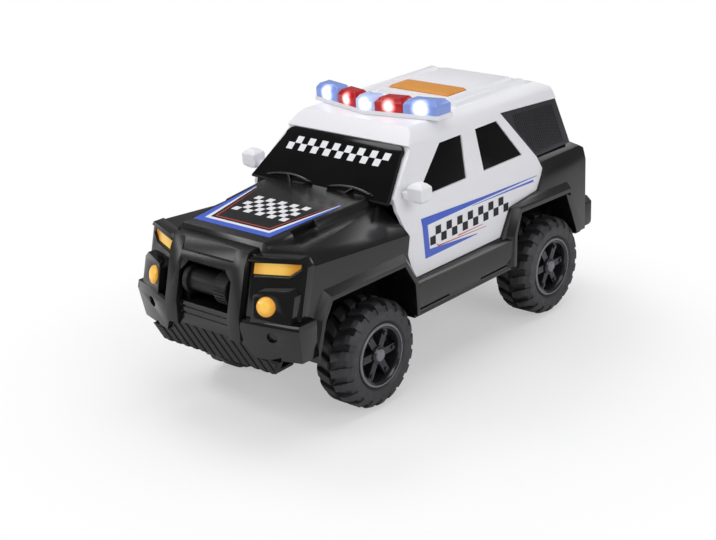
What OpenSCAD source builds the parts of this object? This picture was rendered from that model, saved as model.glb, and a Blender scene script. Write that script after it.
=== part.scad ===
// Toy patrol car, off-road estate shape, with a roof button, a light bar and a small winch.
// X points forward, Y to the car's left, Z up; the origin is on the ground under the middle.

/* [Overall] */
// From the middle to the front of the guard, and to the back of the rear bumper
half_length = 150; // [147:0.5:155]
// Width over the wings and the rear quarters
body_w = 114; // [112.5:0.5:116]
// Width over the white doors
door_w = 111; // [109:0.5:112]
// Width over the wheel flares and the front bumper
flare_w = 121; // [119:0.5:124]
// Wall of the mouldings
wall = 2.2; // [1.6:0.1:2.6]
// Gap left where two mouldings meet
panel_gap = 0.15; // [0.1:0.05:0.25]

/* [Wheels] */
// Diameter of a tyre over its lugs
tyre_d = 61; // [57:0.5:62]
// Width of a tyre
tyre_w = 25; // [22:0.5:25.5]
// Distance between the middles of the left and right tyres
track = 94; // [92:0.5:95]
// Front axle, behind the front end
front_overhang = 75.5; // [74:0.5:77]
// Rear axle, ahead of the rear end
rear_overhang = 58.5; // [57:0.5:60]
// Diameter of the rim where the tyre sits
rim_d = 34; // [31:0.5:36]
// Diameter of the steel axles
axle_d = 3; // [2.6:0.1:4]
// Clearance on radius of an axle in its bearing
axle_play = 0.06; // [0.03:0.01:0.09]
// Clearance on radius of parts pressed or slipped together
seat_play = 0.05; // [0.02:0.01:0.1]
// Lugs around one shoulder of a tyre
lug_count = 20; // [14:1:22]
// Depth of the tread
lug_depth = 2.8; // [1.5:0.1:3.5]
// Width of a lug around the tyre
lug_w = 4.8; // [3:0.1:5.2]
// Spokes of a rim
spoke_count = 6; // [4:1:8]
// Width of a spoke
spoke_w = 4.2; // [3:0.1:5]

/* [Body heights] */
// Bottom edge of the sills
sill_z = 44; // [42.5:0.5:46]
// Bottom edge of the doors
sill_top_z = 64; // [62:0.5:66]
// Top of the wheel arches
arch_top_z = 76; // [74:0.5:78]
// Shelf on top of the front bumper
shelf_z = 70; // [69:0.5:71]
// Shoulder under the rear canopy
shoulder_z = 103; // [101:0.5:104]
// Front of the bonnet's raised panel
bonnet_front_z = 106.8; // [105.5:0.1:108]
// Back of the bonnet's raised panel
bonnet_rear_z = 111.5; // [110:0.1:112.5]
// Roof
roof_z = 143.5; // [142:0.5:146]

/* [Nose] */
// Lean of the nose: backward step per unit of height
nose_lean = 0.26; // [0.22:0.01:0.3]
// Sweep of the nose: backward step per unit of width
nose_sweep = 0.4; // [0.34:0.01:0.44]
// Half width of the straight middle of the nose
nose_flat = 29; // [28.5:0.5:30]
// How far the guard stands proud of the lamp surrounds
guard_proud = 4; // [3:0.25:5]
// Thickness of the lamp surrounds
bezel_t = 5; // [4.2:0.1:6]
// Inner face of a guard post, from the middle
post_in = 19; // [18.6:0.1:19.6]
// Outer face of a guard post, from the middle
post_out = 27.5; // [26:0.1:27.6]
// Bottom of the guard's top beam
beam_z = 91.5; // [91.3:0.1:93]
// Diameter of a fog lamp
fog_d = 10.5; // [9:0.1:11]

/* [Winch] */
// Winch axis, behind the front end
winch_setback = 11.5; // [11.2:0.1:12]
// Height of the winch axis
winch_z = 80.3; // [80:0.1:81]
// Diameter of the drum
drum_d = 13; // [9:0.5:15]
// Diameter of the drum's flanges
flange_d = 18; // [16:0.5:18.5]
// Length of the drum over its flanges
drum_len = 32; // [28:0.5:32]
// Thickness of a flange
flange_t = 3; // [2:0.25:4]
// Width of the finger wheel at the left end of the drum
wheel_w = 9; // [6:0.5:11]
// Diameter of the winch pin
winch_pin_d = 3; // [2:0.1:4]
// Ribs around the finger wheel
knurl_count = 28; // [18:1:36]

/* [Cabin] */
// Foot of the windscreen, behind the front axle
cowl_setback = 18.5; // [18:0.1:19]
// Height of the foot of the windscreen
screen_base_z = 110; // [109.5:0.1:110.5]
// Length of the windscreen along the car
screen_run = 27; // [25:0.5:29]
// Height of the head of the windscreen
screen_top_z = 135; // [134:0.5:136]
// Thickness of the windscreen
screen_t = 2; // [1.5:0.1:2.5]
// Width of the windscreen at its foot
screen_base_w = 103; // [98:0.5:104]
// Width of the windscreen at its head
screen_top_w = 86; // [80:0.5:87]
// Bottom of the side windows
window_low_z = 107.3; // [106:0.1:109]
// Height of the side windows
window_h = 23.7; // [20:0.1:25]
// How far the panes lie behind the white skin
pane_inset = 0.6; // [0.3:0.1:0.9]
// Thickness of the panes
pane_t = 1.5; // [1:0.1:2]
// Back end of the roof, ahead of the rear end
roof_setback = 44; // [43:0.5:46]
// Ribs on each side of the rear canopy
rib_count = 15; // [8:1:18]

/* [Roof button] */
// Length of the button along the car
button_l = 18; // [15:0.5:20]
// Width of the button across the car
button_w = 44; // [38:0.5:45]
// Middle of the button, as a share of the roof behind the light bar
button_share = 0.438; // [0.425:0.001:0.46]
// Height of the raised deck around the button
deck_h = 2.2; // [1.5:0.1:2.8]
// Travel of the button
button_travel = 1.5; // [1:0.1:1.8]
// Play between the button and the roof
button_play = 0.3; // [0.2:0.05:0.45]
// Free height of the button spring
spring_h = 8; // [7:0.1:9]
// Wire diameter of the button spring
spring_wire = 0.7; // [0.5:0.05:0.8]
// Middle diameter of the button spring
spring_d = 10; // [8.5:0.1:11]
// Turns of the button spring
spring_turns = 5; // [4:1:6]

/* [Light bar] */
// Half length of the light bar
bar_half = 46; // [42:0.5:48]
// Depth of the light bar along the car
bar_depth = 13; // [11:0.5:15]
// Height of the coloured lenses
lens_h = 8; // [6.5:0.25:9]
// Height of the tray under the lenses
tray_h = 2.4; // [2.2:0.1:3]
// Front of the bar at its middle, behind the head of the windscreen
bar_setback = 15; // [13:0.5:20]
// How far the ends sweep back
bar_sweep = 11; // [6:0.5:13]

/* [Chassis] */
// Thickness of the floor plate
floor_t = 2.5; // [2.2:0.1:3]
// Diameter of a cell
cell_d = 14.2; // [13.8:0.1:14.4]
// Length of a cell
cell_l = 50.5; // [49:0.1:50.8]
// Diameter of the speaker
speaker_d = 30; // [24:0.5:32]
// Travel of the power switch
switch_travel = 4; // [3:0.1:4.5]
// Diameter of the screw shanks
screw_d = 2.6; // [2.2:0.1:2.8]
// Diameter of the screw heads
screw_head_d = 5.2; // [4.6:0.1:5.6]

/* [Hidden] */
$fn = 64;

black = [0.07, 0.07, 0.08];
satin = [0.12, 0.12, 0.13];
white = [0.93, 0.93, 0.94];
amber = [0.95, 0.62, 0.2];
steel = [0.72, 0.72, 0.74];
big = 400;

body_y = body_w / 2;
door_y = door_w / 2;
flare_y = flare_w / 2;
sill_y = flare_y - 1;
wheel_y = track / 2;
axle_z = tyre_d / 2;
axle_r = axle_d / 2;
rim_r = rim_d / 2;
fx = half_length - front_overhang;
rx = rear_overhang - half_length;
screen_base_x = fx - cowl_setback;
screen_top_x = screen_base_x - screen_run;
window_top_z = window_low_z + window_h;
roof_rear_x = half_length - roof_setback;
bar_front_x = screen_top_x - bar_setback;
button_x = bar_depth - bar_front_x + button_share * (roof_rear_x + bar_front_x - bar_depth);
winch_x = half_length - winch_setback;
// Inner wall of the wheel wells
well_y = wheel_y - tyre_w / 2 - 2;
// Place of the nose face at the shelf, and back of the bumper
nose_x = half_length - guard_proud;
bumper_back = fx + 52;
bumper_low = sill_z + 4.5;
bumper_mid_low = sill_z + 13;
tail_x = -(half_length - 19);

// Small helpers

// A half outline [y, z] from the bottom edge up to the middle, and its mirror image.
function both_sides(half) = concat(half, [for (i = [len(half) - 1:-1:0]) if (half[i][0] > 0)
    [-half[i][0], half[i][1]]]);

// Value that runs from a at x = p to b at x = q.
function between(x, p, q, a, b) = a + (b - a) * (x - p) / (q - p);

// Draws a [y, z] outline and extrudes it along X.
module along_x(x0, x1) {
    translate([x0, 0, 0]) rotate([90, 0, 90]) linear_extrude(x1 - x0) children();
}

// Draws an [x, z] outline and extrudes it along Y.
module along_y(y0, y1) {
    translate([0, y1, 0]) rotate([90, 0, 0]) linear_extrude(y1 - y0) children();
}

// Skin over a stack of rings with equal numbers of points, closed by flat ends.
// Seen from the last ring, the points run anticlockwise.
module loft(rings) {
    n = len(rings[0]);
    last = (len(rings) - 1) * n;
    points = [for (ring = rings) for (p = ring) p];
    sides = [for (k = [0:len(rings) - 2]) for (i = [0:n - 1]) let (a = k * n + i,
        b = k * n + (i + 1) % n) each [[a, a + n, b], [b, a + n, b + n]]];
    ends = [[for (i = [0:n - 1]) i], [for (i = [n - 1:-1:0]) last + i]];
    polyhedron(points, concat(sides, ends));
}

// The left and the right one of a pair.
module pair() {
    children();
    mirror([0, 1, 0]) children();
}

// Rectangle with its corners cut off.
module cut_box(x0, x1, y0, y1, cut) {
    polygon([[x0 + cut, y0], [x1 - cut, y0], [x1, y0 + cut], [x1, y1 - cut], [x1 - cut, y1],
        [x0 + cut, y1], [x0, y1 - cut], [x0, y0 + cut]]);
}

// Turns Z towards the left (side 1) or the right (side -1).
module facing(side) {
    rotate([-90 * side, 0, 0]) children();
}

// Nose

function nose_at(z) = nose_x - nose_lean * (z - shelf_z);

// All that lies behind the swept, leaning nose face, moved back by an offset.
module nose_block(back) {
    reach = 2 * flare_y;
    function ring(z) = let (x = nose_at(z) - back, s = x - nose_sweep * (reach - nose_flat))
        [[0, -reach, z], [s, -reach, z], [x, -nose_flat, z],
        [x, nose_flat, z], [s, reach, z], [0, reach, z]];
    loft([ring(sill_z), ring(roof_z)]);
}

// Slab between two offsets of the nose face.
module nose_slab(front, back) {
    difference() {
        nose_block(front);
        nose_block(back);
    }
}

// Side outlines

// Slope of the windscreen
screen_angle = atan2(screen_top_z - screen_base_z, screen_base_x - screen_top_x);
screen_len = norm([screen_top_z - screen_base_z, screen_base_x - screen_top_x]);
screen_out = [sin(screen_angle), cos(screen_angle)];
screen_seat_base = [screen_base_x, screen_base_z] - screen_out * (screen_t + panel_gap);
screen_seat_top = [screen_top_x, screen_top_z] - screen_out * (screen_t + panel_gap);

door_front_x = screen_base_x - 9;
door_rear_x = rx + 50.5;
// Length of the roof, of which the canopy and the windows take their shares
roof_len = screen_top_x + roof_rear_x;
canopy_top = [0.363 * roof_len - roof_rear_x, window_top_z + 3.3];
canopy_rear_top = [-(roof_rear_x + 8), window_top_z];
canopy_low_x = 0.1815 * roof_len - roof_rear_x;

function screen_seat_z(x) = between(x, screen_seat_base[0], screen_seat_top[0],
    screen_seat_base[1], screen_seat_top[1]);

cabin_outline = [
    [door_front_x - 5.5, sill_top_z],
    [door_front_x, sill_top_z + 16],
    [door_front_x - 2, sill_top_z + 26],
    [door_front_x + 4, screen_base_z - 5],
    [door_front_x + 4, screen_seat_z(door_front_x + 4)],
    screen_seat_top,
    [screen_top_x, screen_top_z] + [-cos(screen_angle), sin(screen_angle)] * panel_gap,
    [screen_top_x - 8, roof_z],
    [-roof_rear_x + 6, roof_z],
    [-roof_rear_x - 6, roof_z - 5],
    canopy_rear_top,
    canopy_top,
    [canopy_low_x, shoulder_z],
    [canopy_low_x - 4.5, shoulder_z - 8],
    [canopy_low_x + 2.5, shoulder_z - 20],
    [door_rear_x - 9.5, sill_top_z + 16],
    [door_rear_x, sill_top_z]];

// The windscreen seen from the side, for the cut in the cowl.
screen_side = [[screen_base_x, screen_base_z], [screen_top_x, screen_top_z],
    screen_seat_top, screen_seat_base];

// Cross section of the cabin.
cabin_section = both_sides([[door_y, sill_top_z - 20], [door_y, shoulder_z - 12],
    [door_y - 1.5, shoulder_z], [44.5, window_top_z + 5], [41.5, roof_z - 2.5], [38.5, roof_z],
    [0, roof_z]]);

// Ends of the row of windows at their foot and at their head, and the shares where the pillar stands
window_foot = [screen_base_x - 0.1667 * roof_len, canopy_low_x + 0.0993 * roof_len];
window_head = [screen_top_x - 0.1933 * roof_len, canopy_top[0] + 0.0407 * roof_len];
function foot_at(share) = [window_foot[0] + share * (window_foot[1] - window_foot[0]), window_low_z];
function head_at(share) = [window_head[0] + share * (window_head[1] - window_head[0]), window_top_z];

front_window = [foot_at(0), head_at(0), head_at(0.375), foot_at(0.456)];
rear_window = [foot_at(0.62), head_at(0.618), head_at(1), foot_at(1)];

canopy_outline = [canopy_top, canopy_rear_top, [-(roof_rear_x + 12.5), shoulder_z],
    [canopy_low_x, shoulder_z]];

front_arch = [[fx + 54, sill_z - 6], [fx + 45, shelf_z - 3.4], [fx + 39, arch_top_z],
    [fx - 20.5, arch_top_z], [fx - 29, sill_top_z - 1], [fx - 30.3, sill_z - 6]];
rear_arch = [[rx + 41, sill_z - 6], [rx + 40, sill_top_z - 1], [rx + 35, arch_top_z],
    [rx - 17, arch_top_z - 1.5], [rx - 23.5, sill_top_z - 4], [rx - 33, sill_z - 6]];

// Solid inside the cabin's outer surface, moved inwards by an inset.
module cabin_core(inset = 0) {
    along_x(-big / 2, big / 2) offset(delta = -inset) polygon(cabin_section);
}

// Lower body

hood_rear_x = screen_base_x + 1;
hood_front_x = nose_at(bonnet_front_z) - bezel_t;

// Half section of bonnet and wing at a place along the car, thinned by an inset.
function wing_half(x, inset) = let (
    h = function(a, b) between(x, hood_rear_x, hood_front_x, a, b),
    crease = h(shoulder_z - 6.5, shoulder_z - 1),
    panel = h(bonnet_rear_z, bonnet_front_z))
    [[body_y - inset, sill_z - 2 * inset], [body_y - inset, crease - 4.5 - inset],
     [body_y - 2.7 - inset, crease - inset], [h(39, 33) - inset, panel - h(4.5, 3) - inset],
     [h(36, 30) - inset, panel - inset], [0, panel - inset]];

module wing_mass(inset = 0) {
    function ring(x) = [for (p = both_sides(wing_half(x, inset))) [x, p[0], p[1]]];
    intersection() {
        loft([ring(door_front_x - 8), ring(nose_x)]);
        nose_block(bezel_t + panel_gap + inset);
    }
}

module quarter_mass(inset = 0) {
    section = both_sides([[body_y - inset, sill_z - 2 * inset], [body_y - inset, shoulder_z - 13],
        [body_y - 2.5 - inset, shoulder_z - 4], [body_y - 7 - inset, shoulder_z - inset],
        [0, shoulder_z - inset]]);
    side = [[door_rear_x + inset, sill_z - 3 * inset], [door_rear_x + inset, shoulder_z - inset],
        [tail_x + 10, shoulder_z - inset], [tail_x + inset, shoulder_z - 6 - inset],
        [tail_x + inset, sill_z - 3 * inset]];
    intersection() {
        along_x(tail_x - 1, 0) polygon(section);
        along_y(-flare_y, flare_y) polygon(side);
    }
}

ledge_y = door_y - 9;

sill_rear = rx + 36;
sill_front = fx - 26;
// Length of the grooves above the feet of a sill
foot_len = 30;

module sill_mass() {
    section = both_sides([[sill_y - 2, sill_z], [sill_y, sill_z + 6], [sill_y, sill_top_z - 3],
        [door_y - 0.8, sill_top_z], [0, sill_top_z]]);
    hollow = both_sides([[sill_y - 2 - wall, sill_z - 1], [sill_y - 2 - wall, sill_top_z - 3 - wall],
        [door_y - 3, sill_top_z - wall], [ledge_y, sill_top_z - wall], [ledge_y, sill_top_z + 1],
        [0, sill_top_z + 1]]);
    difference() {
        along_x(sill_rear, sill_front) polygon(section);
        along_x(sill_rear - 1, sill_front + 1) polygon(hollow);
        pair() for (x = [sill_rear + 8, sill_front - 6 - foot_len])
            translate([x, sill_y - 2.6, sill_z + 1.2]) cube([foot_len, 5, 1.5]);
    }
}

// Chamfered flare around one arch on the left.
module flare(arch) {
    hull() {
        along_y(body_y - 1.5, body_y - 1.4) offset(delta = 7.5) polygon(arch);
        along_y(flare_y - 0.1, flare_y) offset(delta = 2.5) polygon(arch);
    }
}

module flares() {
    intersection() {
        pair() flare(front_arch);
        translate([fx - 40, -big / 2, sill_z]) cube([big, big, big]);
    }
    intersection() {
        pair() flare(rear_arch);
        translate([rx - 18, -big / 2, sill_z]) cube([big, big, big]);
    }
}

// Wheel wells, grown by a wall, on both sides.
module wells(grow) {
    pair() along_y(well_y - grow, flare_y + 5) {
        offset(delta = grow) polygon(front_arch);
        offset(delta = grow) polygon(rear_arch);
    }
}

boss_r = 3.5;
boss_y = door_y - 4.5;
boss_x = [fx - 40, rx + 50];
recess_y = post_in + 4;
vent_x = fx + 18;
vent_y = nose_flat + 2.6;

module at_bosses() {
    for (x = boss_x, y = [-boss_y, boss_y]) translate([x, y, 0]) children();
}

module lower_body() {
    color(black) difference() {
        union() {
            difference() {
                union() {
                    wing_mass();
                    quarter_mass();
                    flares();
                }
                difference() {
                    union() {
                        wing_mass(wall);
                        quarter_mass(wall);
                    }
                    wells(wall);
                }
            }
            sill_mass();
            at_bosses() translate([0, 0, sill_z]) cylinder(r = boss_r, h = sill_top_z - sill_z - 1);
        }
        wells(0);
        // Room for the cabin and the windscreen
        along_y(-big / 2, big / 2) offset(delta = panel_gap) polygon(cabin_outline);
        along_y(-big / 2, big / 2) offset(delta = panel_gap) polygon(screen_side);
        // Room for the front bumper, the winch and the tailgate seat
        translate([bumper_back - panel_gap, -big / 2, 0]) cube([big, big, shelf_z + panel_gap]);
        along_x(bumper_back, big) square([2 * recess_y, 2 * (beam_z + 0.5)], center = true);
        at_bosses() cylinder(r = screw_d / 2 + seat_play, h = sill_top_z - 6);
        // Notches in the sides of the bonnet panel
        pair() along_y(vent_y, vent_y + 9)
            polygon([[vent_x, bonnet_rear_z + 1], [vent_x + 3, bonnet_front_z - 1.2],
            [vent_x + 20, bonnet_front_z - 2.2], [vent_x + 20, bonnet_rear_z + 1]]);
    }
}

// Cabin

module hollow_cabin() {
    far = [screen_seat_base[0] + 30, screen_seat_z(screen_seat_base[0] + 30)];
    silhouette = [far, screen_seat_top, [screen_top_x - 8, roof_z], [-roof_rear_x + 6, roof_z],
        [-roof_rear_x - 6, roof_z - 5], canopy_rear_top, [canopy_rear_top[0], 0], [far[0], 0]];
    intersection() {
        cabin_core(wall);
        along_y(-big / 2, big / 2) offset(delta = -wall) polygon(silhouette);
    }
    translate([-big / 2, -door_y + wall, -big / 2])
        cube([big, 2 * (door_y - wall), big / 2 + sill_top_z + 10]);
}

// Block with sloping sides, from z0 to z1.
module raised(x0, x1, y0, y1, z0, z1, slope) {
    function ring(z, d) = [[x0 + d, y0 + d, z], [x1 - d, y0 + d, z],
        [x1 - d, y1 - d, z], [x0 + d, y1 - d, z]];
    loft([ring(z0, 0), ring(z1, slope)]);
}

deck_y = button_w / 2 + 4;
rail_y = deck_y + 10;
function behind_bar(y) = bar_front_x - bar_depth - bar_sweep * y / bar_half - 1;
deck_front = min(-(button_x - button_l / 2 - 7), behind_bar(deck_y));
rail_front = min(deck_front + 4, behind_bar(rail_y));
deck_rear = -roof_rear_x + 10;
button_top = roof_z + deck_h + button_travel;
button_flange_t = 2;
flange_top = roof_z - wall - 0.2;
board_top = flange_top - button_flange_t - spring_h;
switch_h = spring_h - 5;
board_l = 46;
board_w = 36;
board_t = 1.6;
post_at = [board_l / 2 - 6, board_w / 2 - 6];

module at_board_posts() {
    for (sx = [-1, 1], sy = [-1, 1])
        translate([-button_x + sx * post_at[0], sy * post_at[1], 0]) children();
}

module upper_cabin() {
    color(white) difference() {
        union() {
            difference() {
                intersection() {
                    cabin_core();
                    along_y(-big / 2, big / 2) polygon(cabin_outline);
                }
                hollow_cabin();
            }
            raised(deck_rear, deck_front, -deck_y, deck_y, roof_z - 0.1, roof_z + deck_h, 1.2);
            pair() raised(deck_rear, rail_front, rail_y - 6, rail_y, roof_z - 0.1, roof_z + deck_h, 1.2);
            at_board_posts() translate([0, 0, board_top])
                cylinder(r = 3, h = roof_z - wall / 2 - board_top);
        }
        along_y(-big / 2, big / 2) {
            polygon(front_window);
            polygon(rear_window);
        }
        translate([-button_x - button_l / 2 - button_play, -button_w / 2 - button_play, roof_z - 2 * wall])
            cube([button_l + 2 * button_play, button_w + 2 * button_play, 4 * wall]);
        at_board_posts() translate([0, 0, board_top - 1]) cylinder(r = screw_d / 2 - 0.4, h = 8);
    }
}

// Windscreen outline in its own plane, with rounded upper corners.
module screen_outline() {
    r = 5;
    lean = atan2((screen_base_w - screen_top_w) / 2, screen_len);
    corner = [screen_top_w / 2 - r + r * sin(lean) / 2, screen_len - r];
    arc = [for (a = [-lean:10:90]) corner + r * [cos(a), sin(a)]];
    polygon(both_sides(concat([[screen_base_w / 2, 0]], arc, [[0, screen_len]])));
}

module windscreen() {
    color(black) translate([screen_base_x, 0, screen_base_z]) rotate([0, screen_angle, 0])
        rotate([0, 0, 90]) translate([0, 0, -screen_t]) linear_extrude(screen_t) screen_outline();
}

module side_windows(side) {
    color(black) intersection() {
        difference() {
            cabin_core(pane_inset);
            cabin_core(pane_inset + pane_t);
        }
        along_y(side > 0 ? 0 : -big / 2, side > 0 ? big / 2 : 0) offset(delta = -panel_gap) {
            polygon(front_window);
            polygon(rear_window);
        }
    }
}

module rear_canopy() {
    pitch = (canopy_low_x - canopy_outline[2][0] - 8) / rib_count;
    lean = canopy_rear_top[0] - canopy_outline[2][0];
    inner_low = canopy_outline[2] + [wall + 0.5, 0];
    inner_high = inner_low + 2 * (canopy_outline[1] - canopy_outline[2]);
    color(satin) {
        difference() {
            intersection() {
                cabin_core(0.6);
                along_y(-big / 2, big / 2) offset(delta = -panel_gap) polygon(canopy_outline);
            }
            intersection() {
                cabin_core(0.6 + wall);
                along_y(-big / 2, big / 2)
                    polygon([inner_low, inner_high, [0, inner_high[1]], [0, shoulder_z]]);
            }
        }
        intersection() {
            difference() {
                cabin_core(0.1);
                cabin_core(0.7);
            }
            along_y(-big / 2, big / 2) offset(delta = -2.5) polygon(canopy_outline);
            along_y(-big / 2, big / 2) for (i = [1:rib_count + 6])
                let (x = canopy_outline[2][0] + 4 + i * pitch)
                polygon([[x, shoulder_z], [x + pitch / 2, shoulder_z],
                    [x + pitch / 2 + lean, window_top_z + 3], [x + lean, window_top_z + 3]]);
        }
    }
}

module tailgate() {
    color(black) difference() {
        along_x(tail_x - 2.4, tail_x - panel_gap) cut_box(-38, 38, sill_top_z - 2, shoulder_z - 8, 3);
        translate([tail_x - 3, -13, sill_top_z + 20]) cube([1.6, 26, 6]);
    }
}

// Front

// Outline [y, z] of a left headlight lens.
lens_outline = [[29.8, beam_z + 0.8], [29.8, beam_z + 6.5], [53.8, beam_z + 7.3], [53.8, beam_z + 5.2],
    [48.5, beam_z + 1.2]];
bezel_top = beam_z + 10.8;
fog_y = 41.7;
fog_z = shelf_z + 8.2;
fog_out = [1, nose_sweep, nose_lean];
block_proud = 5;
fog_at = [nose_at(fog_z) + block_proud - nose_sweep * (fog_y - nose_flat), fog_y, fog_z];

module at_fog() {
    translate(fog_at) rotate([0, acos(nose_lean / norm(fog_out)), atan(nose_sweep)]) children();
}

module headlight_bezel(side) {
    face = [[post_out + 0.3, shelf_z + panel_gap], [post_out + 0.3, bezel_top], [body_y - 3, bezel_top],
        [body_y + 0.2, bezel_top - 4.5], [body_y + 0.2, shelf_z + panel_gap]];
    fog_block = [[34.5, shelf_z + panel_gap], [34.5, fog_z + 5.2], [37, fog_z + 7.6], [52.5, fog_z + 8.8],
        [55.5, fog_z + 6], [55.5, shelf_z + panel_gap]];
    color(black) mirror([0, side > 0 ? 0 : 1, 0]) difference() {
        union() {
            intersection() {
                nose_slab(0, bezel_t);
                along_x(0, big) polygon(face);
            }
            intersection() {
                nose_slab(-2.5, 1);
                along_x(0, big) polygon([[post_out + 3, bezel_top], [body_y - 3, bezel_top],
                    [body_y - 1.6, bezel_top - 2], [post_out + 0.5, beam_z + 8.1],
                    [post_out + 0.5, beam_z + 9]]);
            }
            intersection() {
                nose_slab(-block_proud, 1);
                along_x(0, big) polygon(fog_block);
            }
        }
        intersection() {
            nose_slab(-1, 3.2);
            along_x(0, big) offset(delta = panel_gap) polygon(lens_outline);
        }
        at_fog() translate([0, 0, -3.6]) cylinder(d = fog_d + 2 * panel_gap, h = 10);
    }
}

module headlight(side) {
    color(amber) mirror([0, side > 0 ? 0 : 1, 0]) intersection() {
        nose_slab(0.4, 3.1);
        along_x(0, big) polygon(lens_outline);
    }
}

module fog_lamp(side) {
    r = fog_d / 2;
    color(amber) mirror([0, side > 0 ? 0 : 1, 0]) at_fog() rotate_extrude()
        polygon([[0, -3.5], [r, -3.5], [r, 0.4], [r - 0.5, 1.1], [r - 1.8, 1.7], [0, 2.1]]);
}

module grille_guard() {
    proud = function(z) nose_at(z) + guard_proud;
    post = [[half_length - 2.55, bumper_mid_low], [half_length, bumper_mid_low], [half_length, shelf_z],
        [proud(beam_z + 5.5), beam_z + 5.5], [proud(beam_z + 12) - 2.2, beam_z + 12],
        [nose_at(beam_z + 12) - 0.5, beam_z + 12], [nose_at(shelf_z) - 0.5, shelf_z + panel_gap],
        [half_length - 2.55, shelf_z + panel_gap]];
    beam = [[proud(beam_z) - 1.5, beam_z], [proud(beam_z + 1.5), beam_z + 1.5],
        [proud(beam_z + 5.5), beam_z + 5.5], [proud(beam_z + 6) - 1, beam_z + 6.2],
        [proud(beam_z + 12) - 2.2, beam_z + 12], [nose_at(beam_z + 12) - bezel_t, beam_z + 12.8],
        [nose_at(beam_z) - bezel_t, beam_z]];
    color(black) {
        pair() along_y(post_in, post_out) polygon(post);
        along_y(-post_out, post_out) polygon(beam);
        pair() intersection() {
            nose_slab(-guard_proud + 0.6, -2.7);
            along_x(0, big) polygon([[post_in + 1, beam_z + 1], [post_in - 5, beam_z + 1],
                [post_in - 5, beam_z], [post_in, beam_z - 5], [post_in + 1, beam_z - 5]]);
        }
    }
}

panel_x = bumper_back + 0.4;

module grille_panel() {
    slat_pitch = 4.2;
    color(satin) difference() {
        along_x(panel_x, panel_x + 1.9) translate([-recess_y + 0.4, shelf_z + 0.1])
            square([2 * recess_y - 0.8, beam_z - shelf_z]);
        for (z = [shelf_z + 3:slat_pitch:beam_z - 4])
            translate([panel_x + 0.9, -recess_y + 3, z]) cube([2, 2 * recess_y - 6, 2]);
    }
}

// Half width of the skid plate where it passes under the bumper
skid_neck = post_out + 6;

module front_bumper() {
    corner_x = nose_x - 5.7;
    p = post_out + 0.1;
    function ring(z, back, in) = let (e = half_length - back)
        [[bumper_back, -flare_y + in, z], [corner_x - back, -flare_y + in, z], [e, -p, z],
         [e, p, z], [corner_x - back, flare_y - in, z], [bumper_back, flare_y - in, z]];
    low_cut = [[-skid_neck, bumper_low - 5], [-skid_neck, bumper_low], [-p, bumper_mid_low],
        [p, bumper_mid_low], [skid_neck, bumper_low], [skid_neck, bumper_low - 5]];
    color(satin) difference() {
        loft([ring(bumper_low, 3, 1.5), ring(shelf_z - 4, 0, 0), ring(shelf_z, 0.8, 0.3)]);
        along_x(0, big) polygon(low_cut);
        // Seat of the guard's posts
        translate([half_length - 2.7, -p, 0]) cube([big, 2 * p, big]);
        // Step lines between the posts
        for (z = [shelf_z - 7, shelf_z - 3.4])
            translate([half_length - 3.5, -post_in + 0.5, z]) cube([3, 2 * post_in - 1, 1]);
        // Round pockets near the corners
        pair() translate([nose_x - 1.7, 45, shelf_z - 8]) rotate([0, 90, 22])
            cylinder(d = 6, h = 6, center = true);
    }
}

module skid_plate() {
    top_x = half_length - 5.2;
    side = [[top_x, bumper_mid_low - 0.3], [nose_x - 5.5, sill_z - 4.5], [bumper_back - 12, sill_z - 3],
        [bumper_back - 12, sill_z - 0.6], [nose_x - 8, sill_z - 1.6], [top_x - 3.2, bumper_mid_low - 0.3]];
    top = bumper_low - 0.2;
    neck = skid_neck - 0.25;
    high = post_out - 0.2;
    wide = skid_neck + 14;
    low = skid_neck + 7.5;
    front = [[-low, sill_z - 6], [-wide, top], [-neck, top], [-high, bumper_mid_low],
        [high, bumper_mid_low], [neck, top], [wide, top], [low, sill_z - 6]];
    color(satin) {
        intersection() {
            along_y(-big / 2, big / 2) polygon(side);
            along_x(0, big) polygon(front);
            translate([0, -well_y, 0]) cube([bumper_back + 1, 2 * well_y, big]);
        }
        intersection() {
            along_y(-big / 2, big / 2) polygon(side);
            along_x(bumper_back + 1, big) polygon(front);
        }
        // Slanting ribs on the face
        intersection() {
            along_y(-big / 2, big / 2) translate([0.4, -0.13]) polygon(side);
            along_x(bumper_back + 8, big) offset(delta = -1.2) polygon(front);
            along_x(bumper_back + 8, big) for (y = [-56:6.5:44])
                polygon([[y, bumper_mid_low], [y + 3.6, bumper_mid_low],
                    [y + 15.6, sill_z - 6], [y + 12, sill_z - 6]]);
        }
    }
}

// Winch

bracket_in = drum_len / 2 + 0.3;
bracket_t = 4;

module winch_cradle() {
    foot = shelf_z + 0.05;
    back = winch_x - 8.5;
    side = [[back, foot], [winch_x + 4.4, foot], [winch_x + 2.8, winch_z + 3.7],
        [winch_x + 1, winch_z + 6.5], [winch_x - 3.5, winch_z + 6.5], [back + 2, winch_z + 2.7]];
    bar = [[back, foot], [back + 2, foot], [back + 2, foot + 1.55], [back, foot + 1.55]];
    color(satin) difference() {
        union() {
            pair() along_y(bracket_in, bracket_in + bracket_t) polygon(side);
            along_y(-bracket_in - 1, bracket_in + 1) polygon(bar);
        }
        translate([winch_x, 0, winch_z]) facing(1)
            cylinder(d = winch_pin_d + 2 * seat_play, h = big, center = true);
    }
}

module winch_pin() {
    color(steel) translate([winch_x, 0, winch_z]) facing(1)
        cylinder(d = winch_pin_d, h = 2 * (bracket_in + bracket_t), center = true);
}

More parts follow.
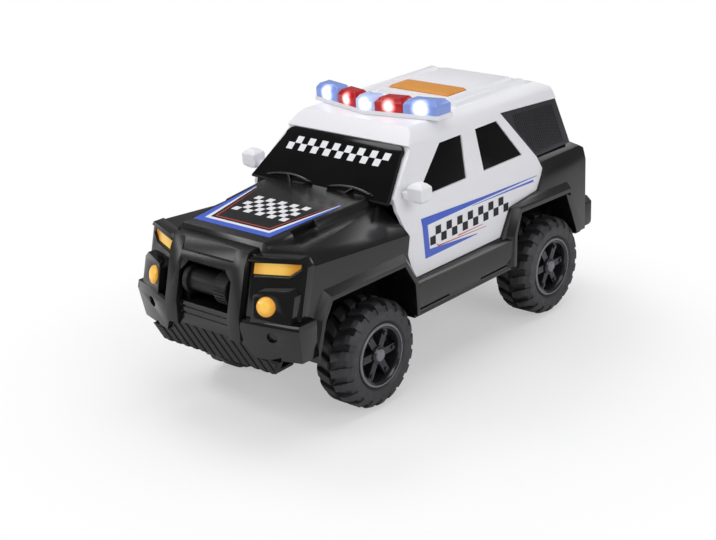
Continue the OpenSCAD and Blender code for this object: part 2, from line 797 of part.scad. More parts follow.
module winch_drum() {
    half = drum_len / 2;
    color(satin) translate([winch_x, 0, winch_z]) facing(1) difference() {
        union() {
            cylinder(d = drum_d, h = drum_len, center = true);
            translate([0, 0, -half]) cylinder(d = flange_d - 0.6, h = flange_t);
            translate([0, 0, half - wheel_w]) cylinder(d = flange_d - 0.8, h = wheel_w);
            for (i = [0:knurl_count - 1]) rotate(i * 360 / knurl_count)
                translate([flange_d / 2 - 1.2, -0.5, half - wheel_w + 0.3])
                cube([1.2 - 0.05, 1, wheel_w - 0.6]);
        }
        cylinder(d = winch_pin_d + 2 * axle_play, h = big, center = true);
    }
}

// Mirrors

module mirror_piece(side) {
    mx = door_front_x - 10;
    mz = window_low_z + 2.2;
    color(white) mirror([0, side > 0 ? 0 : 1, 0]) difference() {
        union() {
            intersection() {
                along_y(0, big) cut_box(mx, mx + 9.5, mz, mz + 11, 2.2);
                along_x(0, big) cut_box(door_y + 1.5, door_y + 11.5, mz, mz + 11, 2.2);
            }
            translate([mx + 1.5, door_y - 8, mz + 0.8]) cube([5.5, 12, 4]);
        }
        cabin_core(-panel_gap);
    }
}

// Light bar

// Half of the bar seen from above between two distances from the middle, inset all round.
function bar_ring(y0, y1, inset, z) = let (
    x = function(y) bar_front_x - bar_sweep * abs(y) / bar_half,
    a = y0 + inset, b = y1 - inset)
    [[x(a) - bar_depth + inset, a, z], [x(a) - inset, a, z],
    [x(b) - inset, b, z], [x(b) - bar_depth + inset, b, z]];

bar_z = roof_z + panel_gap;
lens_z = bar_z + tray_h;
segment_ends = [0.145, 0.52, 0.985];
segment_gap = 0.3;

module bar_plate(inset, z0, z1) {
    for (side = [0, 1]) mirror([0, side, 0])
        loft([bar_ring(-0.5 - inset, bar_half, inset, z0), bar_ring(-0.5 - inset, bar_half, inset, z1)]);
}

module lightbar_base() {
    color(white) difference() {
        bar_plate(0, bar_z, lens_z);
        bar_plate(1.8, bar_z + 1.1, lens_z + 1);
    }
}

// Hollow lens over one stretch of the bar.
module bar_lens(y0, y1) {
    w = 1.5;
    top = lens_z + lens_h;
    function ring(in, z) = bar_ring(y0, y1, in, z);
    difference() {
        loft([ring(0.2, lens_z), ring(0.2, top - 2.6), ring(2.2, top)]);
        loft([ring(w, lens_z - 1), ring(w, top - 3), ring(w + 1.8, top - w)]);
    }
}

module lightbar_red() {
    color([0.85, 0.12, 0.12, 0.8]) pair()
        bar_lens(segment_ends[0] * bar_half + segment_gap, segment_ends[1] * bar_half);
}

module lightbar_blue() {
    color([0.25, 0.4, 0.95, 0.8]) pair()
        bar_lens(segment_ends[1] * bar_half + segment_gap, segment_ends[2] * bar_half);
}

module lightbar_clear() {
    h = segment_ends[0] * bar_half;
    w = 1.5;
    top = lens_z + lens_h;
    function ring(in, z) = let (
        f = bar_front_x - in,
        b = bar_front_x - bar_depth + in,
        y = h - in,
        s = bar_sweep * y / bar_half)
        [[f, 0, z], [f - s, y, z], [b - s, y, z], [b, 0, z], [b - s, -y, z], [f - s, -y, z]];
    color([0.8, 0.87, 1, 0.7]) difference() {
        loft([ring(0.2, lens_z), ring(0.2, top - 2.6), ring(2.2, top)]);
        loft([ring(w, lens_z - 1), ring(w, top - 3), ring(w + 1.8, top - w)]);
    }
}

module lightbar_board() {
    color([0.1, 0.4, 0.2]) bar_plate(2, bar_z + 1.2, lens_z);
}

module lightbar_leds() {
    r = 2;
    dome = [[0, 0], [r + 0.4, 0], [r + 0.4, 0.8], [r, 0.8], [r, 2.4], [r - 0.6, 3.2], [0, 3.6]];
    middles = [0, (segment_ends[0] + segment_ends[1]) / 2, (segment_ends[1] + segment_ends[2]) / 2];
    color([0.95, 0.95, 0.9]) for (s = [-1, 1], m = middles) if (m > 0 || s > 0)
        translate([bar_front_x - bar_sweep * m - bar_depth / 2, s * m * bar_half, lens_z])
        rotate_extrude() polygon(dome);
}

// Roof button

module roof_button() {
    color([0.9, 0.55, 0.16]) translate([-button_x, 0, 0]) {
        translate([-button_l / 2, -button_w / 2, flange_top - 0.5])
            cube([button_l, button_w, button_top - 0.8 - flange_top + 0.5]);
        raised(-button_l / 2 + 0.1, button_l / 2 - 0.1, -button_w / 2 + 0.1, button_w / 2 - 0.1,
            button_top - 1.2, button_top, 0.7);
        translate([-button_l / 2 - 2, -button_w / 2 - 2, flange_top - button_flange_t])
            cube([button_l + 4, button_w + 4, button_flange_t]);
        translate([0, 0, board_top + switch_h + button_travel + 0.2])
            cylinder(r = 3, h = spring_h - switch_h - button_travel);
    }
}

// Round wire wound into a helix about Z, as one closed tube.
module coil(d, wire, turns, h, per_turn = 14, sides = 5) {
    n = turns * per_turn;
    r = d / 2;
    loft([for (i = [0:n]) let (a = i * 360 / per_turn, z = wire / 2 + (h - wire) * i / n)
        [for (k = [0:sides - 1]) let (b = -k * 360 / sides, rr = r + wire / 2 * cos(b))
        [rr * cos(a), rr * sin(a), z + wire / 2 * sin(b)]]]);
}

module button_spring() {
    color(steel) translate([-button_x, 0, board_top + 0.1])
        coil(spring_d, spring_wire, spring_turns, spring_h - 0.2);
}

module button_switch() {
    color(satin) translate([-button_x, 0, board_top]) {
        translate([-2.6, -2.6, 0]) cube([5.2, 5.2, switch_h - 1]);
        cylinder(r = 1.6, h = switch_h);
    }
}

module roof_board() {
    color([0.1, 0.4, 0.2]) difference() {
        translate([-button_x - board_l / 2, -board_w / 2, board_top - board_t])
            cube([board_l, board_w, board_t]);
        at_board_posts() translate([0, 0, board_top - 5]) cylinder(r = screw_d / 2, h = 10);
    }
}

module board_screws() {
    color(steel) at_board_posts() {
        translate([0, 0, board_top - board_t - 1.5]) cylinder(d = screw_head_d - 1, h = 1.5);
        translate([0, 0, board_top - board_t - 0.1]) cylinder(r = screw_d / 2 - 0.45, h = 7);
    }
}

// Chassis

floor_top = sill_z - 0.1;
floor_low = floor_top - floor_t;
carrier_y = well_y - 3;
carrier_r = 6;
tub_x = cell_l / 2 + 3.8;
cell_pitch = cell_d + 1.2;
tub_y = cell_pitch + cell_d / 2 + 0.6;
tub_wall = 2;
cell_z = floor_low - 1;
tub_low = cell_z - cell_d / 2 - 0.4;
tub_top = cell_z + cell_d / 2 + 0.5;
cover_t = 1.8;
cover_tab = 8;
speaker_x = fx + 29;
switch_x = -(tub_x + tub_wall + 12);
switch_slot = 4.6;

module floor_outline() {
    narrow = well_y - 0.4;
    translate([tail_x + 0.5, -narrow]) square([bumper_back - 13 - tail_x, 2 * narrow]);
    translate([rx + 42, -sill_y + 2.5]) square([fx - 31.5 - rx - 42, 2 * sill_y - 5]);
    translate([tail_x + 0.5, -body_y + 3]) square([rx - 34 - tail_x, 2 * body_y - 6]);
}

module carriers() {
    for (x = [fx, rx]) translate([x, 0, axle_z]) {
        facing(1) cylinder(r = carrier_r, h = 2 * carrier_y, center = true);
        translate([-carrier_r, -carrier_y, 0])
            cube([2 * carrier_r, 2 * carrier_y, floor_low + 0.5 - axle_z]);
    }
}

module chassis() {
    color(satin) difference() {
        union() {
            translate([0, 0, floor_low]) linear_extrude(floor_t) floor_outline();
            carriers();
            translate([-tub_x - tub_wall, -tub_y - tub_wall, tub_low])
                cube([2 * (tub_x + tub_wall), 2 * (tub_y + tub_wall), tub_top + tub_wall - tub_low]);
            translate([tub_x + tub_wall + 4, 0, tub_low])
                cylinder(r = boss_r, h = floor_low + 0.5 - tub_low);
            translate([speaker_x, 0, floor_top - 0.1])
                cylinder(r = speaker_d / 2 + 0.2 + wall, h = 4);
        }
        translate([-tub_x, -tub_y, tub_low - 1]) cube([2 * tub_x, 2 * tub_y, tub_top - tub_low + 1]);
        translate([speaker_x, 0, floor_top]) cylinder(r = speaker_d / 2 + 0.2, h = 10);
        for (y = [-8:4:8]) translate([speaker_x - 9, y - 1, 0]) cube([18, 2, big / 4]);
        for (x = [fx, rx]) translate([x, 0, axle_z]) facing(1)
            cylinder(r = axle_r + axle_play, h = big, center = true);
        at_bosses() {
            cylinder(r = screw_d / 2 + 0.3, h = big / 4);
            cylinder(d = screw_head_d + 0.4, h = floor_low + 1.4);
        }
        translate([tub_x + tub_wall + 4, 0, 0]) cylinder(r = screw_d / 2 + seat_play, h = floor_low + 1);
        translate([switch_x - switch_slot / 2, -2.2, 0]) cube([switch_slot + switch_travel, 4.4, big / 4]);
    }
}

module battery_cover() {
    color(satin) difference() {
        union() {
            translate([-tub_x - tub_wall, -tub_y - tub_wall, tub_low - cover_t - 0.05])
                cube([2 * (tub_x + tub_wall), 2 * (tub_y + tub_wall), cover_t]);
            translate([tub_x, -5, tub_low - cover_t - 0.05]) cube([tub_wall + cover_tab, 10, cover_t]);
        }
        // Grip grooves
        for (x = [-20:5:20]) translate([x - 0.8, -12, tub_low - cover_t - 1]) cube([1.6, 24, 1.5]);
        translate([tub_x + tub_wall + 4, 0, 0]) {
            cylinder(r = screw_d / 2 + 0.3, h = big / 4);
            cylinder(d = screw_head_d + 0.4, h = tub_low - cover_t + 1);
        }
    }
}

module cover_screw() {
    z = tub_low - cover_t + 1.05;
    color(steel) translate([tub_x + tub_wall + 4, 0, 0]) {
        translate([0, 0, z - 1.05]) cylinder(d = screw_head_d, h = 0.95);
        translate([0, 0, z - 0.2]) cylinder(d = screw_d, h = 8);
    }
}

module batteries() {
    nub = 1.3;
    color([0.3, 0.55, 0.35]) for (i = [-1:1]) translate([0, i * cell_pitch, cell_z])
        rotate([0, i == 0 ? -90 : 90, 0]) translate([0, 0, tub_x - 0.8 - cell_l]) {
            cylinder(d = cell_d, h = cell_l - nub);
            cylinder(d = 5.4, h = cell_l);
        }
}

module battery_contacts() {
    plate = 0.5;
    gap = 2 * tub_x - cell_l - 1;
    color(steel) for (i = [-1:1]) translate([0, i * cell_pitch, cell_z]) rotate([0, i == 0 ? -90 : 90, 0]) {
        for (z = [-tub_x + 0.1, tub_x - plate - 0.1]) translate([-5, -5, z]) cube([10, 10, plate]);
        translate([0, 0, -tub_x + 0.1 + plate]) coil(8, 0.7, 3, gap - plate, 10);
    }
}

module speaker() {
    r = speaker_d / 2;
    color([0.15, 0.15, 0.16]) translate([speaker_x, 0, floor_top + 0.05]) rotate_extrude()
        polygon([[0, 2.2], [r * 0.45, 1], [r - 2.5, 2], [r - 2.5, 0], [r, 0], [r, 1.8], [r - 1, 2.6],
            [r * 0.62, 5], [r * 0.62, 9], [0, 9]]);
}

module power_switch() {
    l = 20;
    color(satin) difference() {
        translate([switch_x - 8, -5, floor_top + 0.05]) cube([l, 10, 6.5]);
        translate([switch_x - 4.3, -3.5, floor_top - 1]) cube([8.6 + switch_travel, 7, 4]);
    }
}

module switch_knob() {
    color([0.8, 0.2, 0.15]) translate([switch_x, 0, 0]) {
        translate([-4, -3.2, floor_top + 0.15]) cube([8, 6.4, 2.6]);
        translate([-2, -1.9, floor_low - 1.4]) cube([4, 3.8, floor_t + 2]);
    }
}

module chassis_screws() {
    color(steel) at_bosses() {
        translate([0, 0, floor_low + 0.2]) cylinder(d = screw_head_d, h = 1.15);
        translate([0, 0, floor_low + 1]) cylinder(d = screw_d, h = 12);
    }
}

// Wheels

axle_half = wheel_y + tyre_w / 2 - 3.5;

module axle(x) {
    color(steel) translate([x, 0, axle_z]) facing(1) cylinder(r = axle_r, h = 2 * axle_half, center = true);
}

// Tyre about its own axis, with the outer side up.
module tyre_shape() {
    r = tyre_d / 2;
    base = r - lug_depth;
    h = tyre_w / 2;
    core = [[rim_r + seat_play, 2 - h], [rim_r + 3, 0.3 - h], [base - 3, -h], [base, 2.2 - h],
        [base, h - 2.2], [base - 3, h], [rim_r + 3, h - 0.3], [rim_r + 1.3, h - 2],
        [rim_r + seat_play, h - 2]];
    lug_skin = [[rim_r + 4, 0.1 - h], [r - 4.5, -h], [r - 1.2, 2.6 - h], [r, 5 - h], [r, h - 5],
        [r - 1.2, h - 2.6], [r - 4.5, h], [rim_r + 4, h - 0.1]];
    half = lug_w / 2;
    lug = [[-half, h + 1], [half, h + 1], [half, h - 4], [half + 3.2, 0.9], [3.2 - half, 0.9],
        [-half, h - 4]];
    rotate_extrude() polygon(core);
    intersection() {
        rotate_extrude() polygon(lug_skin);
        for (i = [0:lug_count - 1], m = [0, 1]) mirror([0, 0, m]) rotate((i + m / 2) * 360 / lug_count)
            translate([base - 4.6, 0, 0]) rotate([90, 0, 90]) linear_extrude(lug_depth + 8) polygon(lug);
    }
}

// Rim about the same axis.
module rim_shape() {
    h = tyre_w / 2;
    hub_r = 5;
    barrel = [[rim_r - 2.4, 3 - h], [rim_r, 3 - h], [rim_r, h - 1.9], [rim_r + 0.9, h - 1.9],
        [rim_r + 0.9, h - 0.9], [rim_r - 0.4, h - 0.4], [rim_r - 1.8, h - 1.2], [rim_r - 2.4, h - 3]];
    difference() {
        union() {
            rotate_extrude() polygon(barrel);
            translate([0, 0, carrier_y + 0.4 - wheel_y]) cylinder(r = 3.6, h = wheel_y - carrier_y);
            translate([0, 0, -2]) cylinder(r = hub_r, h = h - 0.5);
            translate([0, 0, h - 2.6]) cylinder(r1 = hub_r - 0.6, r2 = hub_r - 2, h = 1.2);
            for (i = [0:spoke_count - 1]) rotate(i * 360 / spoke_count) {
                translate([hub_r - 1, -spoke_w / 2, h - 8.5]) cube([rim_r - hub_r - 0.6, spoke_w, 5]);
                translate([rim_r - 4.6, 0, h - 4]) cylinder(r = 1.2, h = 1.3);
            }
        }
        translate([0, 0, -big / 2])
            cylinder(r = axle_r + seat_play / 2, h = big / 2 + axle_half - wheel_y + 0.1);
    }
}

module tyre(x, side) {
    color([0.1, 0.1, 0.11]) translate([x, side * wheel_y, axle_z]) facing(side) tyre_shape();
}

module rim(x, side) {
    color([0.2, 0.2, 0.21]) translate([x, side * wheel_y, axle_z]) facing(side) rim_shape();
}

// Rear

module rear_bumper() {
    back = -half_length;
    top = sill_z + 16;
    front = tail_x - panel_gap;
    plan = [[front, -body_y + 1.5], [back + 9, -body_y + 1.5], [back, -body_y + 11], [back, body_y - 11],
        [back + 9, body_y - 1.5], [front, body_y - 1.5]];
    side = [[front, sill_z], [back + 11, sill_z], [back, sill_z + 6], [back, top - 1.5],
        [back + 2, top], [front, top]];
    color(satin) intersection() {
        linear_extrude(big / 2) polygon(plan);
        along_y(-big / 2, big / 2) polygon(side);
    }
}

module tail_lamp(side) {
    color([0.75, 0.1, 0.1, 0.9]) mirror([0, side > 0 ? 0 : 1, 0])
        along_x(tail_x - 3.4, tail_x - panel_gap) polygon([[43, sill_top_z - 2], [54, sill_top_z - 2],
            [54, shoulder_z - 17], [51.5, shoulder_z - 14.5], [43, shoulder_z - 14.5]]);
}

lower_body();
upper_cabin();
windscreen();
side_windows(1);  // side_windows_left
side_windows(-1);  // side_windows_right
rear_canopy();
tailgate();
headlight_bezel(1);  // headlight_bezel_left
headlight_bezel(-1);  // headlight_bezel_right
headlight(1);  // headlight_left
headlight(-1);  // headlight_right
fog_lamp(1);  // fog_lamp_left
fog_lamp(-1);  // fog_lamp_right
grille_guard();
grille_panel();
front_bumper();
skid_plate();
winch_cradle();
winch_pin();
winch_drum();
mirror_piece(1);  // mirror_left
mirror_piece(-1);  // mirror_right
lightbar_base();
lightbar_red();
lightbar_blue();
lightbar_clear();
lightbar_board();
lightbar_leds();
roof_button();
button_spring();
button_switch();
roof_board();
board_screws();
chassis();
battery_cover();
cover_screw();
batteries();
battery_contacts();
speaker();
power_switch();
switch_knob();
chassis_screws();
axle(fx);  // front_axle
axle(rx);  // rear_axle
tyre(fx, 1);  // tyre_front_left
tyre(fx, -1);  // tyre_front_right
tyre(rx, 1);  // tyre_rear_left
tyre(rx, -1);  // tyre_rear_right
rim(fx, 1);  // rim_front_left
rim(fx, -1);  // rim_front_right
rim(rx, 1);  // rim_rear_left
rim(rx, -1);  // rim_rear_right
rear_bumper();
tail_lamp(1);  // tail_lamp_left
tail_lamp(-1);  // tail_lamp_right
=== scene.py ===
# %% [markdown]
# A toy patrol car, dressed for its picture
#
# The car comes in as a frame of exact solids: the body, the cabin, the wheels and all that
# moves. This lesson adds what a mould and a printing pad give the real toy: softened edges,
# plastic with a grain, printed stripes, rim rings, wipers and beads under the headlights.

# %% Load the frame
import math

import bpy
import numpy as np
from mathutils import Matrix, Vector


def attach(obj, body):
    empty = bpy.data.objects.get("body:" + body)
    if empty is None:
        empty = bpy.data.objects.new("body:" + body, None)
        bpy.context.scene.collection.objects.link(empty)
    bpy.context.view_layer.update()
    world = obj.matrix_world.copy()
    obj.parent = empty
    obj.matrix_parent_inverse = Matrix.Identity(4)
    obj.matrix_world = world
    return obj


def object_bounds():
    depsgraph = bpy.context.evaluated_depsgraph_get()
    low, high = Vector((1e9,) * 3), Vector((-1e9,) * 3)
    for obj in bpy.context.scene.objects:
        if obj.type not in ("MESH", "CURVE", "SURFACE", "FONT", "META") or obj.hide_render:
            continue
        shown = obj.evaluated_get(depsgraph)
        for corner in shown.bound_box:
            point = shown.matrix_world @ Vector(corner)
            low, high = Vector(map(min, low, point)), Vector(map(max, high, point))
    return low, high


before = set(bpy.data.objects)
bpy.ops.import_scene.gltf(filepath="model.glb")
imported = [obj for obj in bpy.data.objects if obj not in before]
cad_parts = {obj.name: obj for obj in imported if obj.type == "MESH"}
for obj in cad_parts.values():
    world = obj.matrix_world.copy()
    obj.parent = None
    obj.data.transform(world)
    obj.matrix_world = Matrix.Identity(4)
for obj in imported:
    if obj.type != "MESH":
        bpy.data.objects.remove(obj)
cad_low, cad_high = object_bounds()
MM = 0.001
size_mm = [round(v / MM) for v in cad_high - cad_low]
print("frame:", len(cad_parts), "nodes,", size_mm, "mm")

# %% [markdown]
# The camera
#
# The view was solved from the wheels, the door edges and the bumper: the camera stands ahead
# of the car, to its left and a little above the roof. A long lens keeps the lines calm.

# %% Camera
IMAGE_W = 716
FOCAL_PX = 1543.7
AZIMUTH, ELEVATION, ROLL = (math.radians(a) for a in (131.226, 20.557, -2.54))
EYE = np.array([660.1, 557.3, 369.2]) * MM

ground = math.cos(ELEVATION)
back = np.array([math.sin(AZIMUTH) * ground, -math.cos(AZIMUTH) * ground, math.sin(ELEVATION)])
right = np.cross([0, 0, 1], back)
right /= np.linalg.norm(right)
up = np.cross(back, right)
right, up = (right * math.cos(ROLL) + up * math.sin(ROLL),
             up * math.cos(ROLL) - right * math.sin(ROLL))
lens = bpy.data.cameras.new("camera")
lens.sensor_fit = "HORIZONTAL"
lens.sensor_width = 36.0
lens.lens = FOCAL_PX * lens.sensor_width / IMAGE_W
camera = bpy.data.objects.new("camera", lens)
placed = np.eye(4)
placed[:3, 0], placed[:3, 1], placed[:3, 2], placed[:3, 3] = right, up, back, EYE
camera.matrix_world = Matrix(placed.tolist())
bpy.context.scene.collection.objects.link(camera)
bpy.context.scene.camera = camera
bpy.context.scene.view_settings.view_transform = "Standard"
print("lens:", round(lens.lens, 1), "mm")

# %% [markdown]
# Materials
#
# Nearly all of the toy is moulded plastic, so one recipe serves many finishes: a colour that
# drifts a little, a roughness that varies where hands have been, and the fine grain of the
# steel mould. The recipe is a small net of nodes, built with one helper that adds a node.

# %% Colour and node helpers
def linear(hexa):
    """Turns an sRGB hex colour into the linear values that shaders use."""
    c = np.array([int(hexa[i:i + 2], 16) for i in (1, 3, 5)]) / 255.0
    c = np.where(c <= 0.04045, c / 12.92, ((c + 0.055) / 1.055) ** 2.4)
    return (*c, 1.0)


def add(tree, kind, links=(), **settings):
    """Adds one node; settings name its fields or sockets, links pairs (socket, output)."""
    node = tree.nodes.new(kind)
    for key, value in settings.items():
        if hasattr(node, key):
            setattr(node, key, value)
        else:
            node.inputs[key.replace("_", " ")].default_value = value
    for socket, output in links:
        tree.links.new(output, node.inputs[socket])
    return node


PATCH_MM = 35
SMEAR_MM = 9


def moulded(name, hexa, roughness, grain, bump, drift=0.06, ribs=0, **shader):
    """Moulded plastic: grain is the mould texture's size in mm, bump its depth in mm.

    Colour drifts between the given shade and one slightly lighter over 35 mm patches, and the
    roughness varies a little in 9 mm smears from handling. With ribs, upright ribs of that
    pitch in mm stand side by side across the car instead of the grain.
    """
    material = bpy.data.materials.new(name)
    material.use_nodes = True
    tree = material.node_tree
    surface = tree.nodes["Principled BSDF"]
    place = add(tree, "ShaderNodeTexCoord").outputs["Object"]
    patch = add(tree, "ShaderNodeTexNoise", [("Vector", place)],
                Scale=1 / (PATCH_MM * MM), Detail=2.0)
    smear = add(tree, "ShaderNodeTexNoise", [("Vector", place)],
                Scale=1 / (SMEAR_MM * MM), Detail=3.0)
    tone = add(tree, "ShaderNodeMix", [("Factor", patch.outputs["Fac"])], data_type="RGBA")
    shade = np.array(linear(hexa))
    tone.inputs["A"].default_value = shade
    tone.inputs["B"].default_value = np.minimum(shade * (1 + drift) + 0.12 * drift, 1.0)
    tree.links.new(tone.outputs["Result"], surface.inputs["Base Color"])
    spread = add(tree, "ShaderNodeMapRange", [("Value", smear.outputs["Fac"])],
                 To_Min=roughness * 0.93, To_Max=roughness * 1.08)
    tree.links.new(spread.outputs["Result"], surface.inputs["Roughness"])
    if ribs:
        # A wave of scale 1 has ten periods in pi units, hence pi over ten pitches
        texture = add(tree, "ShaderNodeTexWave", [("Vector", place)], bands_direction="Y",
                      Scale=math.pi / (10 * ribs * MM))
    else:
        texture = add(tree, "ShaderNodeTexNoise", [("Vector", place)],
                      Scale=1 / (grain * MM), Detail=2.0)
    relief = add(tree, "ShaderNodeBump", [("Height", texture.outputs["Fac"])],
                 Strength=0.6, Distance=bump * MM)
    tree.links.new(relief.outputs["Normal"], surface.inputs["Normal"])
    for key, value in shader.items():
        surface.inputs[key.replace("_", " ")].default_value = value
    return material


# %% [markdown]
# Lit lenses
#
# A lens over a small lamp is brightest where the lamp sits behind it and keeps its own colour
# further out. The glow depends on the distance from the lamp; lamps come in pairs, left and
# right, so the distance is taken with the sideways place made positive.
# The headlight and fog lenses have no lamp behind them; their glow is a painted glow.

# %% Glow of a lamp behind a lens
def lit(material, hexa, lamp_mm, reach, core, rest, heart="#fff4ee"):
    """Emission that falls from core at a lamp's place to rest at a reach from it, both in mm.

    Its colour goes from the heart colour at the lamp to the lens's own colour at the reach.
    """
    tree = material.node_tree
    surface = tree.nodes["Principled BSDF"]
    place = add(tree, "ShaderNodeTexCoord").outputs["Object"]
    split = add(tree, "ShaderNodeSeparateXYZ", [("Vector", place)])
    aside = add(tree, "ShaderNodeMath", [(0, split.outputs["Y"])], operation="ABSOLUTE")
    there = add(tree, "ShaderNodeCombineXYZ",
                [("X", split.outputs["X"]), ("Y", aside.outputs[0]), ("Z", split.outputs["Z"])])
    away = add(tree, "ShaderNodeVectorMath", [(0, there.outputs[0])], operation="DISTANCE")
    away.inputs[1].default_value = np.array(lamp_mm) * MM
    near = add(tree, "ShaderNodeMapRange", [("Value", away.outputs["Value"])],
               interpolation_type="SMOOTHSTEP", From_Min=reach * MM, From_Max=reach * 0.25 * MM)
    tint = add(tree, "ShaderNodeMix", [("Factor", near.outputs["Result"])], data_type="RGBA")
    tint.inputs["A"].default_value = linear(hexa)
    tint.inputs["B"].default_value = linear(heart)
    tree.links.new(tint.outputs["Result"], surface.inputs["Emission Color"])
    power = add(tree, "ShaderNodeMapRange", [("Value", near.outputs["Result"])],
                To_Min=rest, To_Max=core)
    tree.links.new(power.outputs["Result"], surface.inputs["Emission Strength"])
    return material


# %% The finishes of this car
# ABS from a lightly grained mould: deep black with a soft sheen
black_abs = moulded("abs_black_moulded", "#070708", 0.22, 1.4, 0.003,
                    IOR=1.53, Specular_IOR_Level=0.46)
# ABS from a polished mould: mirrors the lamps along its edges
gloss_black = moulded("abs_black_polished", "#050506", 0.12, 1.8, 0.002,
                      IOR=1.53, Specular_IOR_Level=0.46)
# Polypropylene with an eroded mould texture: wider, duller highlights
satin_black = moulded("pp_black_textured", "#0b0b0d", 0.28, 0.8, 0.006,
                      IOR=1.49, Specular_IOR_Level=0.46)
# Polypropylene from a blasted mould: greyer, since it spreads the light of the sky
canopy_black = moulded("pp_black_blasted", "#2b2b30", 0.42, 0.8, 0.006,
                       IOR=1.49, Specular_IOR_Level=0.45)
# Polypropylene with a coarse texture; its reflection is turned down so that the winch, the grille
# panel and the skid plate look as dark as the shade under the bumper and in the recess: painted shade
winch_black_painted_shade = moulded("pp_black_coarse_painted_shade", "#0e0e10", 0.46, 0.7, 0.01,
                      IOR=1.49, Specular_IOR_Level=0.28)
# Polished polystyrene sheet: the darkest and calmest surface of the toy
glazing = moulded("styrene_black_polished", "#040405", 0.1, 2.5, 0.003,
                  IOR=1.59, Specular_IOR_Level=0.12)
# White ABS: bright and slightly cool, with broad highlights on the roof
white_abs = moulded("abs_white_moulded", "#e9e9ee", 0.34, 1.6, 0.002, drift=0.015,
                    IOR=1.53, Specular_IOR_Level=0.4)
# Orange ABS of the roof button: evenly coloured, half matt
orange_abs = moulded("abs_orange_moulded", "#d5913f", 0.4, 0.9, 0.006,
                     IOR=1.53, Specular_IOR_Level=0.4)
# Plasticised PVC: greyer than the body and dull, with a skin of fine pits
tyre_pvc = moulded("pvc_soft_black", "#2b2b2e", 0.5, 0.8, 0.03, IOR=1.52)
# Vacuum metallised ABS, smoked dark: the spokes pick up bright patches
rim_grey = moulded("abs_dark_chromed", "#3c3c40", 0.15, 0.9, 0.006, Metallic=0.7)
# Hot foil on ABS: a thin grey ring around the rim
ring_grey = moulded("abs_grey_foiled", "#74757a", 0.22, 1.0, 0.006, IOR=1.53)
# Solder mask over glass and epoxy: glassy dark green
board_green = moulded("glass_epoxy_green", "#1c5a34", 0.4, 1.2, 0.01, IOR=1.55)
# Printed sleeve on a steel can: smooth and glossy
cell_sleeve = moulded("steel_can_printed", "#4d8a5a", 0.3, 2.0, 0.006, IOR=1.5)
# Red ABS of the switch knob
knob_red = moulded("abs_red_moulded", "#b02a20", 0.4, 0.9, 0.01, IOR=1.53)
# Bright drawn steel: pins, springs and screws
steel = moulded("steel_drawn_bright", "#b9b9bd", 0.28, 0.6, 0.004, Metallic=1.0)
# Amber acrylic with no lamp behind it in the model: its glow, warm in the middle and deeper at the
# ends, is a painted glow
head_lens_painted_glow = lit(moulded("pmma_amber_head_painted_glow", "#d8962a", 0.14, 2.0, 0.006, IOR=1.49), "#e8861c",
                (135, 40, 95.5), 15, 0.32, 0.06, "#fff08a")
fog_lens_painted_glow = lit(moulded("pmma_amber_fog_painted_glow", "#d8962a", 0.14, 2.0, 0.006, IOR=1.49), "#ea8c1c",
               (145.5, 42, 79.5), 7, 0.34, 0.06, "#fff080")
# Ribbed acrylic over bright lamps: white hot at the lamp, strongly coloured around it
RIBBED = dict(grain=2.0, bump=0.12, ribs=1.9, IOR=1.49)
red_lens = lit(moulded("pmma_red", "#a0101a", 0.14, Transmission_Weight=0.35, **RIBBED), "#d01820",
               (8.8, 15.3, 149.3), 5.6, 1.8, 0.2)
blue_lens = lit(moulded("pmma_blue", "#7089c6", 0.14, Transmission_Weight=0.35, **RIBBED), "#adbfec",
                (4.4, 34.6, 149.3), 7.0, 1.6, 0.2)
clear_lens = lit(moulded("pmma_clear", "#c4cee6", 0.12, Transmission_Weight=0.5, **RIBBED), "#b0c0e8",
                 (12.8, 0, 149.3), 5.4, 1.3, 0.2)
# Clear epoxy of a lamp that is on
led_resin = moulded("epoxy_clear_lit", "#fff6e8", 0.15, 1.0, 0.004, Emission_Color=linear("#ffffff"),
                    Emission_Strength=2.5)
# Dark red acrylic of the tail lamps, which are off
tail_red = moulded("pmma_tail_red", "#8c1218", 0.14, 2.0, 0.01, IOR=1.49, Transmission_Weight=0.15)
# Pad printing inks: thin, flat and half matt
ink_blue = moulded("pad_ink_blue", "#3d5cc4", 0.3, 0.5, 0.002)
ink_white = moulded("pad_ink_white", "#e4e4e8", 0.32, 0.5, 0.002, drift=0.02)
ink_red = moulded("pad_ink_red", "#b83a36", 0.32, 0.5, 0.002)
ink_dark = moulded("pad_ink_dark", "#101014", 0.4, 0.5, 0.002, Specular_IOR_Level=0.25)
print("finishes:", len(bpy.data.materials))

# %% [markdown]
# Moulded edges
#
# A moulded edge is never a knife edge: it has a radius of half a millimetre or so, and that
# radius is what catches the light along every crease of the black body. The solids stay as
# they are; a weld joins their loose triangles and a bevel rounds the creases.

# %% Dress the solids
FINISH = {
    black_abs: "lower_body tailgate",
    gloss_black: "headlight_bezel_left headlight_bezel_right front_bumper",
    canopy_black: "rear_canopy",
    # Painted shade: these parts get the dimmed finish that stands in for the shade under the bumper
    # and in the recess.
    winch_black_painted_shade: "winch_drum winch_cradle grille_panel skid_plate",
    satin_black: "grille_guard rear_bumper chassis "
                 "battery_cover button_switch power_switch speaker",
    glazing: "windscreen side_windows_left side_windows_right",
    white_abs: "upper_cabin mirror_left mirror_right lightbar_base",
    # Painted glow: the head and fog lenses glow with no lamp behind them.
    head_lens_painted_glow: "headlight_left headlight_right",
    fog_lens_painted_glow: "fog_lamp_left fog_lamp_right",
    red_lens: "lightbar_red",
    tail_red: "tail_lamp_left tail_lamp_right",
    blue_lens: "lightbar_blue",
    clear_lens: "lightbar_clear",
    orange_abs: "roof_button",
    tyre_pvc: "tyre_front_left tyre_front_right tyre_rear_left tyre_rear_right",
    rim_grey: "rim_front_left rim_front_right rim_rear_left rim_rear_right",
    steel: "winch_pin button_spring board_screws cover_screw battery_contacts chassis_screws "
           "front_axle rear_axle",
    board_green: "lightbar_board roof_board",
    led_resin: "lightbar_leds",
    cell_sleeve: "batteries",
    knob_red: "switch_knob",
}
